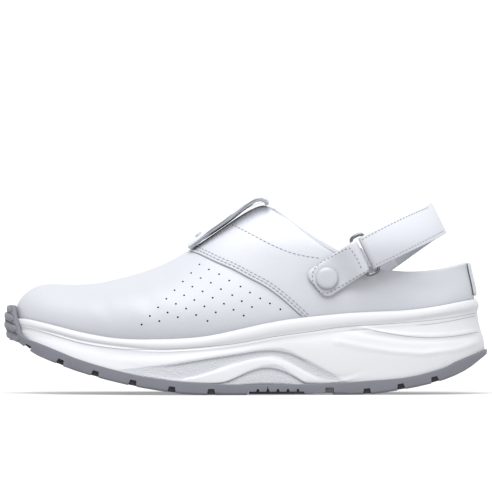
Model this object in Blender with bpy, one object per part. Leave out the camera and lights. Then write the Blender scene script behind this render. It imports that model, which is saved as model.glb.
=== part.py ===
"""A white leather work clog with a heel strap: a left shoe standing on its sole.

Metres, +Z up, toe towards -X, outer side towards -Y, floor at z = 0.
"""

import math
from collections import namedtuple

import bpy
import numpy as np
from mathutils import Vector
from mathutils.bvhtree import BVHTree

for item in list(bpy.data.objects):
    bpy.data.objects.remove(item, do_unlink=True)

# Main sizes
shoe_length = 0.280
ball_width = 0.102
throat_height = 0.112
rim_height = 0.0545
half_columns = 36

# Walls, plates and clearances
fit_gap = 0.0003
upper_wall = 0.0017
quarter_thickness = 0.0011
upper_inset = 0.0085
toe_upper_inset = 0.0052
insole_thickness = 0.0040
insole_edge_rise = 0.0015
insole_chamfer = 0.0008
insole_edge_width = 0.0012
insole_slope_width = 0.0090
rim_chamfer = 0.0006
rim_least_width = 0.0004
edge_round = 0.0012
ledge_height = 0.0009
ledge_width = 0.0009
bumper_height = 0.0513
bumper_thickness = 0.0025
bottom_bevel = 0.0013
toe_roll = 0.0055
relief_depth = 0.0010

# Lugs and notches of the outsole
notch_depth = 0.0036
notch_width = 0.0050
notch_top_width = 0.0034
tooth_width = 0.0019
tooth_height = 0.0015
middle_lift = 0.0020
middle_step_lift = 0.0009
middle_gap_depth = 0.0042

# Leather strips and hardware
strip_thickness = 0.0022
tab_thickness = 0.0023
tab_half_width = 0.0140
tab_drop = 0.0018
gusset_thickness = 0.0007
backstay_thickness = 0.0014
backstay_half_width = 0.0085
strap_width = 0.0200
strap_reach = 0.0459
strap_straight = 0.010
strap_clearance = 0.0028
wire_radius = 0.0011
ring_gap = 0.0080
snap_radius = 0.0064
snap_height = 0.0022
snap_from_end = 0.0085
stud_radius = 0.0022
stud_height = 0.0012
inner_side_drop = 0.0095
strap_tail = 0.0165
strap_tail_flat = 0.0125
strap_tail_bend = 0.0080
anchor_tail = 0.0030

OUTER, INNER = -1, 1
SEAM_ROW = 9
SEAM_STEP_SHARE = 0.0024
COLLAR_ROW = 18
GUSSET_FROM, GUSSET_TO = 0.650, 0.742
BACKSTAY_FROM, BACKSTAY_TO = 0.06, 0.985
BACKSTAY_BEND = 0.54
TOE_FROM, TOE_TO = 0.02, 0.12

Outline = namedtuple("Outline", "along axis half")
outline = (  # along as a share of the length, the others of the ball width
    Outline(0.00, 0.060, 0.000),
    Outline(0.03, 0.050, 0.200),
    Outline(0.08, 0.038, 0.318),
    Outline(0.15, 0.026, 0.408),
    Outline(0.25, 0.012, 0.476),
    Outline(0.33, 0.002, 0.500),
    Outline(0.42, -0.016, 0.486),
    Outline(0.52, -0.034, 0.436),
    Outline(0.62, -0.038, 0.388),
    Outline(0.72, -0.026, 0.366),
    Outline(0.82, -0.010, 0.364),
    Outline(0.90, -0.004, 0.336),
    Outline(0.96, 0.000, 0.252),
    Outline(1.00, 0.000, 0.000),
)

Levels = namedtuple("Levels", "along rim bead ridge mid bulge foot ground bed")
levels = (  # heights of the sole's lines, as shares of the rim height at the heel
    Levels(0.000, 0.800, 0.718, 0.684, 0.662, 0.640, 0.590, 0.590, 0.600),
    Levels(0.030, 0.800, 0.717, 0.684, 0.661, 0.639, 0.583, 0.506, 0.590),
    Levels(0.060, 0.768, 0.688, 0.655, 0.624, 0.592, 0.547, 0.424, 0.555),
    Levels(0.090, 0.736, 0.655, 0.622, 0.587, 0.556, 0.492, 0.360, 0.520),
    Levels(0.155, 0.659, 0.567, 0.541, 0.503, 0.459, 0.360, 0.240, 0.455),
    Levels(0.247, 0.591, 0.505, 0.466, 0.420, 0.365, 0.228, 0.116, 0.405),
    Levels(0.320, 0.587, 0.472, 0.442, 0.402, 0.360, 0.154, 0.046, 0.405),
    Levels(0.405, 0.609, 0.494, 0.462, 0.437, 0.411, 0.112, 0.000, 0.430),
    Levels(0.488, 0.690, 0.547, 0.508, 0.488, 0.468, 0.096, 0.000, 0.480),
    Levels(0.571, 0.782, 0.624, 0.591, 0.565, 0.532, 0.097, 0.000, 0.540),
    Levels(0.654, 0.835, 0.681, 0.642, 0.589, 0.530, 0.099, 0.000, 0.600),
    Levels(0.737, 0.872, 0.728, 0.684, 0.664, 0.503, 0.128, 0.000, 0.655),
    Levels(0.820, 0.888, 0.765, 0.712, 0.629, 0.435, 0.160, 0.052, 0.695),
    Levels(0.903, 0.936, 0.818, 0.760, 0.617, 0.446, 0.261, 0.145, 0.715),
    Levels(0.955, 0.980, 0.855, 0.795, 0.645, 0.500, 0.365, 0.250, 0.720),
    Levels(1.000, 1.010, 0.880, 0.815, 0.680, 0.560, 0.455, 0.400, 0.720),
)

Relief = namedtuple("Relief", "along top band core depth")
relief = (  # lines between foot, 0, and bulge, 1, and how far the relief is cut, 0 to 1
    Relief(0.00, 0.75, 0.50, 0.25, 0.0),
    Relief(0.24, 0.72, 0.32, 0.12, 0.0),
    Relief(0.32, 0.68, 0.22, 0.08, 0.4),
    Relief(0.363, 0.80, 0.14, 0.06, 0.9),
    Relief(0.42, 0.87, 0.36, 0.06, 1.0),
    Relief(0.467, 0.89, 0.60, 0.08, 1.0),
    Relief(0.50, 0.90, 0.70, 0.36, 1.0),
    Relief(0.535, 0.90, 0.74, 0.50, 1.0),
    Relief(0.556, 0.90, 0.745, 0.52, 1.0),
    Relief(0.572, 0.88, 0.68, 0.46, 1.0),
    Relief(0.595, 0.80, 0.52, 0.27, 1.0),
    Relief(0.622, 0.62, 0.34, 0.08, 1.0),
    Relief(0.656, 0.42, 0.12, 0.05, 0.9),
    Relief(0.700, 0.12, 0.08, 0.04, 0.3),
    Relief(0.740, 0.60, 0.40, 0.20, 0.0),
    Relief(1.00, 0.75, 0.50, 0.25, 0.0),
)

Inset = namedtuple("Inset", "along crown bead groove ridge mid bulge foot")
insets = (  # how far each line lies inside the outline, as shares of the upper's inset
    Inset(0.00, 0.46, 0.37, 0.41, 0.39, 0.38, 0.37, 0.36),
    Inset(0.035, 0.50, 0.38, 0.43, 0.40, 0.39, 0.37, 0.36),
    Inset(0.05, 0.56, 0.41, 0.47, 0.43, 0.41, 0.36, 0.28),
    Inset(0.10, 0.78, 0.52, 0.62, 0.55, 0.52, 0.38, 0.18),
    Inset(0.35, 0.80, 0.55, 0.66, 0.58, 0.56, 0.40, 0.16),
    Inset(0.55, 0.80, 0.55, 0.66, 0.60, 0.62, 0.56, 0.18),
    Inset(0.70, 0.80, 0.55, 0.66, 0.60, 0.52, 0.30, 0.16),
    Inset(0.90, 0.80, 0.54, 0.68, 0.62, 0.46, 0.16, 0.16),
    Inset(1.00, 0.80, 0.54, 0.68, 0.62, 0.44, 0.16, 0.16),
)

Section = namedtuple("Section", "base top height half lean low high wrap")
sections = (  # base and top along the length, height of the throat's, half of the ball width's
    Section(0.000, 0.093, 0.567, 0.0, 0, 0.62, 0.52, 1.0),
    Section(0.030, 0.106, 0.567, 0.0, 0, 0.62, 0.52, 1.0),
    Section(0.080, 0.135, 0.565, 0.0, 0, 0.64, 0.54, 0.8),
    Section(0.140, 0.176, 0.567, 0.0, 0, 0.66, 0.56, 0.4),
    Section(0.220, 0.222, 0.588, 0.0, 0, 0.66, 0.56, 0.0),
    Section(0.320, 0.268, 0.616, 0.0, 0, 0.64, 0.56, 0.0),
    Section(0.420, 0.307, 0.648, 0.0, 0, 0.64, 0.58, 0.0),
    Section(0.520, 0.344, 0.689, 0.0, 0, 0.66, 0.60, 0.0),
    Section(0.600, 0.373, 0.730, 0.0, 0, 0.68, 0.62, 0.0),
    Section(0.619, 0.381, 0.741, 0.0, 0, 0.68, 0.62, 0.0),
    Section(0.660, 0.419, 0.803, 0.0, 0, 0.70, 0.62, 0.0),
    Section(0.700, 0.468, 0.885, 0.0, 0, 0.72, 0.62, 0.0),
    Section(0.735, 0.509, 0.968, 0.0, 0, 0.72, 0.60, 0.0),
    Section(0.755, 0.532, 0.990, 0.0, 0, 0.72, 0.58, 0.0),
    Section(0.775, 0.549, 0.970, 0.094, 16, 0.70, 0.52, 0.0),
    Section(0.800, 0.580, 0.912, 0.164, 36, 0.66, 0.46, 0.0),
    Section(0.830, 0.630, 0.808, 0.226, 56, 0.60, 0.40, 0.0),
    Section(0.860, 0.697, 0.716, 0.254, 72, 0.50, 0.36, 0.0),
    Section(0.890, 0.778, 0.640, 0.256, 78, 0.42, 0.34, 0.0),
    Section(0.920, 0.845, 0.629, 0.244, 78, 0.38, 0.34, 0.2),
    Section(0.950, 0.898, 0.642, 0.206, 76, 0.36, 0.34, 0.5),
    Section(0.975, 0.933, 0.663, 0.146, 74, 0.36, 0.34, 0.9),
    Section(0.990, 0.950, 0.676, 0.078, 74, 0.36, 0.34, 1.0),
    Section(1.000, 0.956, 0.681, 0.0, 74, 0.36, 0.34, 1.0),
)
SWEEP = 1.35
throat_row = max(i for i in range(COLLAR_ROW) if sections[i].half == 0)
throat_base = sections[throat_row].base
seam_base = sections[SEAM_ROW].base
rows_up = (0.05, 0.17, 0.30, 0.43, 0.56, 0.68, 0.79, 0.865, 0.885, 0.94, 1.0)
SLIT_ROW = 8

front_notches = (0.0456, 0.1154, 0.1886, 0.2666, 0.3469, 0.4287)
heel_notches = (0.7490, 0.8195, 0.8900)
MIDDLE_FROM, MIDDLE_STEP, MIDDLE_GAP, MIDDLE_TO = 0.504, 0.6199, 0.6629, 0.6800
TOOTH_FROM, TOOTH_PITCH, TOOTH_COUNT = 0.5210, 0.0206, 5

colours = {  # red, green and blue, roughness, metallic
    "white_leather": ((0.86, 0.87, 0.89), 0.42, 0.0),
    "white_foam": ((0.88, 0.89, 0.90), 0.55, 0.0),
    "grey_rubber": ((0.22, 0.225, 0.25), 0.7, 0.0),
    "grey_lining": ((0.55, 0.57, 0.62), 0.85, 0.0),
    "dark_elastic": ((0.05, 0.05, 0.06), 0.9, 0.0),
    "white_plastic": ((0.88, 0.89, 0.91), 0.3, 0.0),
    "dark_metal": ((0.30, 0.30, 0.32), 0.3, 1.0),
}


def smooth(at, values):
    """A line through the values with no overshoot between them, as a function."""
    at = np.asarray(at, float)
    values = np.asarray(values, float)
    step = np.diff(at)
    rise = np.diff(values) / step
    slope = np.zeros(len(at))
    slope[0] = rise[0]
    slope[-1] = rise[-1]
    for i in range(1, len(at) - 1):
        if rise[i - 1] * rise[i] > 0:
            before = 2 * step[i] + step[i - 1]
            after = step[i] + 2 * step[i - 1]
            slope[i] = (before + after) / (before / rise[i - 1] + after / rise[i])

    def line(x):
        x = min(max(x, at[0]), at[-1])
        i = min(int(np.searchsorted(at, x, side="right")) - 1, len(step) - 1)
        t = (x - at[i]) / step[i]
        return (
            values[i] * (1 + 2 * t) * (1 - t) ** 2
            + slope[i] * step[i] * t * (1 - t) ** 2
            + values[i + 1] * t * t * (3 - 2 * t)
            + slope[i + 1] * step[i] * t * t * (t - 1)
        )

    return line


def columns_of(table, first=0, last=None):
    """Each named column of a table as a smooth function of its first column."""
    rows = table[first:last]
    names = rows[0]._fields
    at = [row[0] for row in rows]
    return {name: smooth(at, [getattr(row, name) for row in rows]) for name in names[1:]}


def turn_of(along):
    """The angle round the half outline, 0 at the toe and pi at the heel."""
    return math.acos(1 - 2 * min(max(along, 0.0), 1.0))


outline_half = smooth([turn_of(row.along) for row in outline], [row.half for row in outline])
outline_axis = smooth([row.along for row in outline], [row.axis for row in outline])
level = columns_of(levels)
relief_line = columns_of(relief)
inset_share = columns_of(insets)
front = columns_of(sections, 0, throat_row + 1)
rear = columns_of(sections, throat_row)


def length_at(along):
    return (along - 0.5) * shoe_length


def outline_at(side, turn):
    along = 0.5 - 0.5 * math.cos(turn)
    y = ball_width * (outline_axis(along) + side * outline_half(turn))
    return np.array([length_at(along), y])


def plan(side, along, inset):
    """The outline's point at a share of the length, moved inwards square to the outline."""
    turn = turn_of(along)
    if along <= 0:
        return outline_at(side, 0) + np.array([inset, 0])
    if along >= 1:
        return outline_at(side, math.pi) - np.array([inset, 0])
    step = 1e-3
    ahead = outline_at(side, min(turn + step, math.pi))
    behind = outline_at(side, max(turn - step, 0))
    run = (ahead - behind) / np.linalg.norm(ahead - behind)
    outwards = side * np.array([-run[1], run[0]])
    return outline_at(side, turn) - inset * outwards


def ring_columns():
    """Shares of the length for the columns of every ring, with the seam's and the throat's own."""
    found = [0.5 - 0.5 * math.cos(math.pi * i / half_columns) for i in range(half_columns + 1)]
    for wanted in (seam_base, throat_base):
        nearest = min(range(len(found)), key=lambda i: abs(found[i] - wanted))
        found[nearest] = wanted
    found.append(seam_base + SEAM_STEP_SHARE)
    return sorted(found)


ring = ring_columns()
throat_column = ring.index(throat_base)


def height(name, along):
    return rim_height * level[name](along)


def ease(low, high, along):
    """1 below low, 0 above high, with an even change between."""
    t = min(max((high - along) / (high - low), 0.0), 1.0)
    return t * t * (3 - 2 * t)


def last_inset(along):
    """How far the vamp's outer face lies inside the outline where the rim holds it."""
    return upper_inset + (toe_upper_inset - upper_inset) * ease(TOE_FROM, TOE_TO, along)


def outer_face_inset(along):
    return last_inset(along) - (quarter_thickness if along > seam_base else 0)


def in_arch(name, along):
    foot = height("foot", along)
    return foot + relief_line[name](along) * (height("bulge", along) - foot)


def last_columns(along):
    return front if along <= throat_base else rear


def last_point(side, along, t):
    """The last's surface over the rim: t is 0 at the rim and 1 at the ridge or the collar."""
    column = {name: value(along) for name, value in last_columns(along).items()}
    base = plan(side, along, last_inset(along))
    top_axis = ball_width * outline_axis(column["top"])
    top = (length_at(column["top"]), top_axis + side * ball_width * column["half"])
    lean = math.radians(column["lean"])
    across = 3 * t * t * (1 - t) * (1 - column["high"] * math.cos(lean)) + t**3
    up = (
        3 * t * (1 - t) ** 2 * column["low"]
        + 3 * t * t * (1 - t) * (1 - column["high"] * math.sin(lean))
        + t**3
    )
    along_share = (1 - column["wrap"]) * up**SWEEP + column["wrap"] * across
    low = height("rim", along)
    return np.array(
        [
            base[0] + (top[0] - base[0]) * along_share,
            base[1] + (top[1] - base[1]) * across,
            low + (throat_height * column["height"] - low) * up,
        ]
    )


def material(name):
    colour, roughness, metallic = colours[name]
    found = bpy.data.materials.new(name)
    found.use_nodes = True
    shader = found.node_tree.nodes["Principled BSDF"]
    shader.inputs["Base Color"].default_value = (*colour, 1)
    shader.inputs["Roughness"].default_value = roughness
    shader.inputs["Metallic"].default_value = metallic
    return found


def add(name, points, faces, finish):
    mesh = bpy.data.meshes.new(name)
    mesh.from_pydata([tuple(map(float, p)) for p in points], [], faces)
    mesh.validate()
    made = bpy.data.objects.new(name, mesh)
    bpy.context.scene.collection.objects.link(made)
    mesh.materials.append(material(finish))
    mesh.shade_smooth()
    mesh.set_sharp_from_angle(angle=math.radians(40))
    return made


def loop_sides():
    """The columns once round: the outer side from the toe to the heel, and back on the inner side."""
    outer = [(OUTER, along) for along in ring]
    inner = [(INNER, along) for along in reversed(ring[1:-1])]
    return outer + inner


def ring_solid(name, profile, finish):
    """A closed solid from rings: profile gives, for one column, its rows from bottom to top."""
    columns = loop_sides()
    rows = len(profile(OUTER, 0.5))
    points = []
    for side, along in columns:
        for inset, z in profile(side, along):
            points.append((*plan(side, along, inset), z))
    count = len(columns)
    faces = []
    for c in range(count):
        after = (c + 1) % count
        for r in range(rows - 1):
            faces.append((c * rows + r, after * rows + r, after * rows + r + 1, c * rows + r + 1))
    faces += cap(0, rows, count, False)
    faces += cap(rows - 1, rows, count, True)
    return add(name, points, faces, finish)


def cap(row, rows, count, upwards):
    """Strips across the ring from the outer to the inner side."""
    last = len(ring) - 1
    faces = []
    for i in range(last):
        outer_a, outer_b = i, i + 1
        inner_a, inner_b = (count - i) % count, (count - i - 1) % count
        corners = [outer_a, inner_a, inner_b, outer_b]
        if i == 0:
            corners = [outer_a, inner_b, outer_b]
        if i == last - 1:
            corners = [outer_a, inner_a, outer_b]
        face = [c * rows + row for c in corners]
        faces.append(tuple(reversed(face)) if upwards else tuple(face))
    return faces


def midsole_rows(side, along):
    share = {name: upper_inset * value(along) for name, value in inset_share.items()}
    depth = relief_depth * relief_line["depth"](along)
    wall = outer_face_inset(along) - fit_gap
    rim = height("rim", along)
    bead = height("bead", along)
    foot = height("foot", along)
    bulge = height("bulge", along)
    lip = 0.04 * (bulge - foot)

    def inwards(z):
        """The plain side between bulge and foot."""
        return share["foot"] + (share["bulge"] - share["foot"]) * (z - foot) / (bulge - foot)

    top, band, core = (in_arch(name, along) for name in ("top", "band", "core"))
    return [
        (share["foot"] + 0.5 * depth, foot),
        (inwards(core - lip) + depth, core - lip),
        (inwards(core), core),
        (inwards(band - lip), band - lip),
        (inwards(band) + depth, band),
        (inwards(top - lip) + depth, top - lip),
        (inwards(top), top),
        (share["bulge"], bulge),
        (share["mid"], height("mid", along)),
        (share["ridge"] + 0.03 * upper_inset, height("ridge", along)),
        (share["ridge"], height("ridge", along) + 0.4 * (bead - height("ridge", along))),
        (share["groove"], bead),
        (share["bead"], bead + 0.3 * (rim - bead)),
        (share["bead"] + 0.02 * upper_inset, bead + 0.62 * (rim - bead)),
        (0.5 * (share["crown"] + share["bead"]), bead + 0.9 * (rim - bead)),
        (min(share["crown"] + 0.04 * upper_inset, wall - rim_least_width), rim),
        (wall, rim - rim_chamfer),
        (wall, height("bed", along)),
    ]


def make_midsole():
    return ring_solid("midsole", midsole_rows, "white_foam")


def make_insole():
    def rows(side, along):
        edge = last_inset(along) + upper_wall + fit_gap
        low = height("bed", along) + fit_gap
        lip = low + insole_thickness + insole_edge_rise
        return [
            (edge + insole_chamfer, low),
            (edge, low + insole_chamfer),
            (edge, lip),
            (edge + insole_edge_width, lip + insole_chamfer / 2),
            (edge + insole_slope_width, low + insole_thickness),
        ]

    return ring_solid("insole", rows, "grey_lining")


def outsole_rows(side, along):
    foot = height("foot", along)
    ground = height("ground", along)
    rim = height("rim", along)
    seat = foot - fit_gap
    top = foot + ledge_height + (bumper_height - foot - ledge_height) * ease(0.004, 0.038, along)
    wall = ledge_width + (bumper_thickness - ledge_width) * ease(0.036, 0.050, along)
    wrap = ease(0.004, 0.060, along)
    over_rim = rim + 2 * fit_gap
    tip = min(max((top - over_rim) / (8 * fit_gap), 0), 1)
    lip = wall + (last_inset(along) - 2 * fit_gap - wall) * tip
    shelf = over_rim if top > over_rim + fit_gap else seat + 0.6 * (top - seat)
    return [
        (bottom_bevel + edge_round / 2 + toe_roll * wrap, ground),
        (edge_round / 6 + 0.45 * toe_roll * wrap, min(ground + bottom_bevel, foot - edge_round)),
        (0.12 * toe_roll * wrap, foot + 0.25 * (top - foot)),
        (0.0, foot + 0.60 * (top - foot)),
        (0.1 * ledge_width + 0.45 * toe_roll * tip, top),
        (0.95 * lip, top - 0.05 * ledge_height),
        (lip, shelf),
        (wall, shelf - fit_gap / 2),
        (wall, seat),
    ]


def prism(outline_points, half_width):
    """Points and faces of an outline in x and z, pushed through the whole width."""
    count = len(outline_points)
    points = [(x, -half_width, z) for x, z in outline_points]
    points += [(x, half_width, z) for x, z in outline_points]
    faces = [tuple(reversed(range(count))), tuple(range(count, 2 * count))]
    for i in range(count):
        after = (i + 1) % count
        faces.append((i, after, count + after, count + i))
    return points, faces


def notch_outline(along):
    slope = (height("ground", along + 0.01) - height("ground", along - 0.01)) / (0.02 * shoe_length)
    tilt = math.atan(slope)
    centre = np.array([length_at(along), height("ground", along)])
    run = np.array([math.cos(tilt), math.sin(tilt)])
    up = np.array([-math.sin(tilt), math.cos(tilt)])
    widen = 2.5
    corners = (
        (-widen * notch_width / 2, -notch_depth),
        (widen * notch_width / 2, -notch_depth),
        (notch_width / 2, 0),
        (notch_top_width / 2, notch_depth),
        (-notch_top_width / 2, notch_depth),
        (-notch_width / 2, 0),
    )
    return [tuple(centre + run * x + up * z) for x, z in corners]


def middle_outline():
    """The comb that lifts the middle of the sole off the floor, with its teeth."""
    below = -notch_depth
    line = [(length_at(MIDDLE_FROM) - 0.002, below), (length_at(MIDDLE_FROM), middle_lift)]
    for i in range(TOOTH_COUNT):
        start = length_at(TOOTH_FROM + i * TOOTH_PITCH)
        tooth = ((0, 0), (0.25, 1), (0.75, 1), (1, 0))
        line += [(start + tooth_width * x, middle_lift + tooth_height * z) for x, z in tooth]
    step = length_at(MIDDLE_STEP)
    gap_from, gap_to = length_at(MIDDLE_GAP), length_at(MIDDLE_TO)
    line += [(step, middle_lift), (step, middle_step_lift), (gap_from, middle_step_lift)]
    line += [(gap_from, middle_gap_depth), (gap_to, middle_gap_depth), (gap_to, below)]
    return line


def make_outsole():
    sole = ring_solid("outsole", outsole_rows, "grey_rubber")
    points, faces = [], []
    shapes = [list(reversed(notch_outline(along))) for along in front_notches + heel_notches]
    for shape in shapes + [middle_outline()]:
        more, around = prism(shape, ball_width)
        faces += [tuple(i + len(points) for i in face) for face in around]
        points += more
    cutter = add("notch_cutter", points, faces, "grey_rubber")
    cutter.hide_render = True
    cutter.display_type = "WIRE"
    cut = sole.modifiers.new("notches", "BOOLEAN")
    cut.operation = "DIFFERENCE"
    cut.object = cutter
    return sole


def vertex_normals(points, faces):
    total = np.zeros_like(points)
    for face in faces:
        corners = points[list(face)]
        direction = np.cross(corners[2] - corners[0], corners[-1] - corners[1])
        for i in face:
            total[i] += direction
    return total / np.linalg.norm(total, axis=1)[:, None]


class Shell:
    """The grid of the last's surface: columns round the ring, rows from the base to the top."""

    def __init__(self):
        self.rows = (None, 0.0) + rows_up
        self.index = {}
        self.points = []
        self.plan_normal = {}
        for side in (OUTER, INNER):
            for c, along in enumerate(ring):
                for r, t in enumerate(self.rows):
                    self.place(side, c, r, along, t)
        self.points = np.array(self.points)
        self.faces = []
        for side in (OUTER, INNER):
            for c in range(len(ring) - 1):
                for r in range(len(self.rows) - 1):
                    corners = [(c, r), (c + 1, r), (c + 1, r + 1), (c, r + 1)]
                    face = [self.at(side, *corner) for corner in corners]
                    self.faces.append(tuple(face if side == OUTER else reversed(face)))
        self.normals = vertex_normals(self.points, self.faces)
        for i, normal in self.plan_normal.items():
            self.normals[i] = normal

    def key(self, side, c, r):
        shared = c in (0, len(ring) - 1) or (r == len(self.rows) - 1 and c <= throat_column)
        return (0 if shared else side, c, r)

    def at(self, side, c, r):
        return self.index[self.key(side, c, r)]

    def place(self, side, c, r, along, t):
        key = self.key(side, c, r)
        if key in self.index:
            return
        self.index[key] = len(self.points)
        if t:
            self.points.append(last_point(side, along, t))
            return
        inset = last_inset(along)
        foot = plan(side, along, inset)
        outwards = plan(side, along, inset - 0.001) - foot
        z = height("rim", along) if t == 0.0 else height("bed", along) + fit_gap
        self.plan_normal[self.index[key]] = np.array([*outwards, 0]) / 0.001
        self.points.append(np.array([*foot, z]))

    def lift(self):
        """How far the quarters stand over the vamp at each point."""
        lifts = np.zeros(len(self.points))
        for (side, c, r), i in self.index.items():
            quarter = ring[c] > seam_base + 0.5 * SEAM_STEP_SHARE
            in_slit = r >= SLIT_ROW + 2 and c <= throat_column
            lifts[i] = quarter_thickness if quarter and not in_slit else 0
        return lifts


shell = Shell()


def make_upper():
    count = len(shell.points)
    outer = shell.points + shell.normals * shell.lift()[:, None]
    inner = shell.points - shell.normals * upper_wall
    faces = list(shell.faces)
    faces += [tuple(count + i for i in reversed(face)) for face in shell.faces]
    top = len(shell.rows) - 1
    for side in (OUTER, INNER):
        for c in range(len(ring) - 1):
            for r, use in ((0, True), (top, c >= throat_column)):
                if not use:
                    continue
                a, b = shell.at(side, c, r), shell.at(side, c + 1, r)
                edge = (a, count + a, count + b, b)
                faces.append(edge if (side == OUTER) == (r == 0) else tuple(reversed(edge)))
    return add("upper", np.concatenate([outer, inner]), faces, "white_leather")


def patch(name, inner_points, outer_points, finish):
    """A closed slab between two grids of points, rows by columns."""
    inner = np.array(inner_points)
    outer = np.array(outer_points)
    rows, columns = inner.shape[:2]
    count = rows * columns
    points = np.concatenate([outer.reshape(-1, 3), inner.reshape(-1, 3)])
    faces = []
    for r in range(rows - 1):
        for c in range(columns - 1):
            a = r * columns + c
            face = (a, a + 1, a + columns + 1, a + columns)
            faces.append(face)
            faces.append(tuple(count + i for i in reversed(face)))
    border = [c for c in range(columns)]
    border += [r * columns + columns - 1 for r in range(1, rows)]
    border += [(rows - 1) * columns + c for c in reversed(range(columns - 1))]
    border += [r * columns for r in reversed(range(1, rows - 1))]
    for a, b in zip(border, border[1:] + border[:1]):
        faces.append((a, count + a, count + b, b))
    # The grid may run either way round, so the volume's sign says which.
    volume = 0.0
    for face in faces:
        for i in range(1, len(face) - 1):
            volume += np.dot(points[face[0]], np.cross(points[face[i]], points[face[i + 1]]))
    if volume < 0:
        faces = [tuple(reversed(face)) for face in faces]
    return add(name, points, faces, finish)


def hit_tree(thing):
    mesh = thing.data
    return BVHTree.FromPolygons(
        [v.co for v in mesh.vertices], [tuple(p.vertices) for p in mesh.polygons]
    )


upper = make_upper()
upper_tree = hit_tree(upper)
make_midsole()
make_insole()
make_outsole()


def grid_normals(grid, outwards):
    """The unit normal at each point of a grid, on the side that outwards points to."""
    along = np.gradient(grid, axis=0)
    across = np.gradient(grid, axis=1)
    normal = np.cross(along, across)
    normal /= np.linalg.norm(normal, axis=2)[:, :, None]
    if (normal @ np.asarray(outwards)).sum() < 0:
        normal = -normal
    return normal


def slab(name, grid, low, high, outwards, finish):
    """A slab over a grid of points, from low to high over it."""
    grid = np.array(grid)
    normal = grid_normals(grid, outwards)
    return patch(name, grid + normal * low, grid + normal * high, finish)


def make_gusset():
    shares = (0.936, 0.965)
    across = [(OUTER, t) for t in shares] + [(OUTER, 1.0)]
    across += [(INNER, t) for t in reversed(shares)]
    grid = []
    for along in np.linspace(GUSSET_FROM, GUSSET_TO, 6):
        grid.append([last_point(side, along, t) for side, t in across])
    low = 2 * fit_gap
    slab("gusset", grid, low, low + gusset_thickness, (0, 0, 1), "dark_elastic")


TabPoint = namedtuple("TabPoint", "along height half")
tab_line = (  # the top face: along the length, share of the throat's height and of the half width
    TabPoint(0.3790, 0.773, 0.70),
    TabPoint(0.3850, 0.784, 0.92),
    TabPoint(0.4025, 0.819, 1.00),
    TabPoint(0.4290, 0.872, 1.02),
    TabPoint(0.4620, 0.928, 1.06),
    TabPoint(0.4950, 0.991, 1.12),
    TabPoint(0.5180, 1.026, 1.16),
    TabPoint(0.5320, 1.032, 1.16),
    TabPoint(0.5430, 1.019, 1.12),
    TabPoint(0.5480, 0.997, 1.06),
)


def tab_point(point, v):
    y = ball_width * outline_axis(point.along) + v * tab_half_width * point.half
    return (length_at(point.along), y, throat_height * point.height - tab_drop * v * v)


def make_tab():
    grid = [[tab_point(point, v) for v in np.linspace(-1, 1, 7)] for point in tab_line]
    slab("instep_tab", grid, -tab_thickness, 0, (0, 0, 1), "white_leather")
    here = tab_line[2]
    ahead = Vector(tab_point(tab_line[3], 0)) - Vector(tab_point(tab_line[1], 0))
    up = Vector((-ahead.z, 0, ahead.x)).normalized()
    seat = Vector(tab_point(here, 0)) + up * fit_gap
    dome = ((1, 0), (1, 0.45), (0.8, 0.8), (0.45, 0.96))
    turned("tab_stud", seat, up, stud_radius, stud_height, dome, "white_plastic")


def turned(name, seat, axis, radius, tall, profile, finish, segments=20):
    """A closed button turned about an axis from shares of its radius and height."""
    across = axis.orthogonal().normalized()
    other = axis.cross(across)
    points = [seat]
    for share, up in profile:
        for i in range(segments):
            turn = 2 * math.pi * i / segments
            spoke = across * math.cos(turn) + other * math.sin(turn)
            points.append(seat + spoke * radius * share + axis * tall * up)
    points.append(seat + axis * tall)
    faces = []
    for i in range(segments):
        after = (i + 1) % segments
        faces.append((0, 1 + after, 1 + i))
        for r in range(len(profile) - 1):
            low, high = 1 + r * segments, 1 + (r + 1) * segments
            faces.append((low + i, low + after, high + after, high + i))
        last = 1 + (len(profile) - 1) * segments
        faces.append((last + i, last + after, len(points) - 1))
    return add(name, points, faces, finish)


def make_backstay():
    reach = math.asin(backstay_half_width / (BACKSTAY_BEND * ball_width))
    grid = []
    for t in np.linspace(BACKSTAY_FROM, BACKSTAY_TO, 6):
        row = []
        for turn in np.linspace(-reach, reach, 7):
            side = OUTER if turn < 0 else INNER
            row.append(last_point(side, 0.5 + 0.5 * math.cos(turn), t))
        grid.append(row)
    low = quarter_thickness + fit_gap
    slab("backstay", grid, low, low + backstay_thickness, (1, 0, 0), "white_leather")


STRAP_TILT = math.radians(26)
Spot = namedtuple("Spot", "along height")
strap_fold = Spot(0.7493, 0.729)
anchor_from = Spot(0.6418, 0.556)
strap_axis_y = ball_width * outline_axis(0.75)
strap_run = np.array([math.cos(STRAP_TILT), 0, math.sin(STRAP_TILT)])
strap_rise = np.array([-math.sin(STRAP_TILT), 0, math.cos(STRAP_TILT)])
loop_radius = wire_radius + fit_gap + strip_thickness / 2
# The loops round the ring hang clear of the collar's outer face.
strap_half_span = (
    ball_width * sections[COLLAR_ROW].half
    + quarter_thickness
    + 2 * loop_radius
    + strip_thickness / 2
    + strap_clearance
)


def strap_place(reach, y, rise):
    """A point of the strap: along its run from the fold, across the shoe and up its width."""
    lean = min(max((y / strap_half_span + 1) / 2, 0), 1) * min(max(1 - reach / strap_reach, 0), 1)
    fold = np.array([length_at(strap_fold.along), strap_axis_y, throat_height * strap_fold.height])
    drop = np.array([0, 0, -inner_side_drop * lean])
    return fold + strap_run * reach + strap_rise * rise + np.array([0, y, 0]) + drop


def bar_reach(which):
    """Where the ring's two bars lie along the strap's run: 0 the strap's, 1 the anchor's."""
    return loop_radius - which * ring_gap


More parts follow.
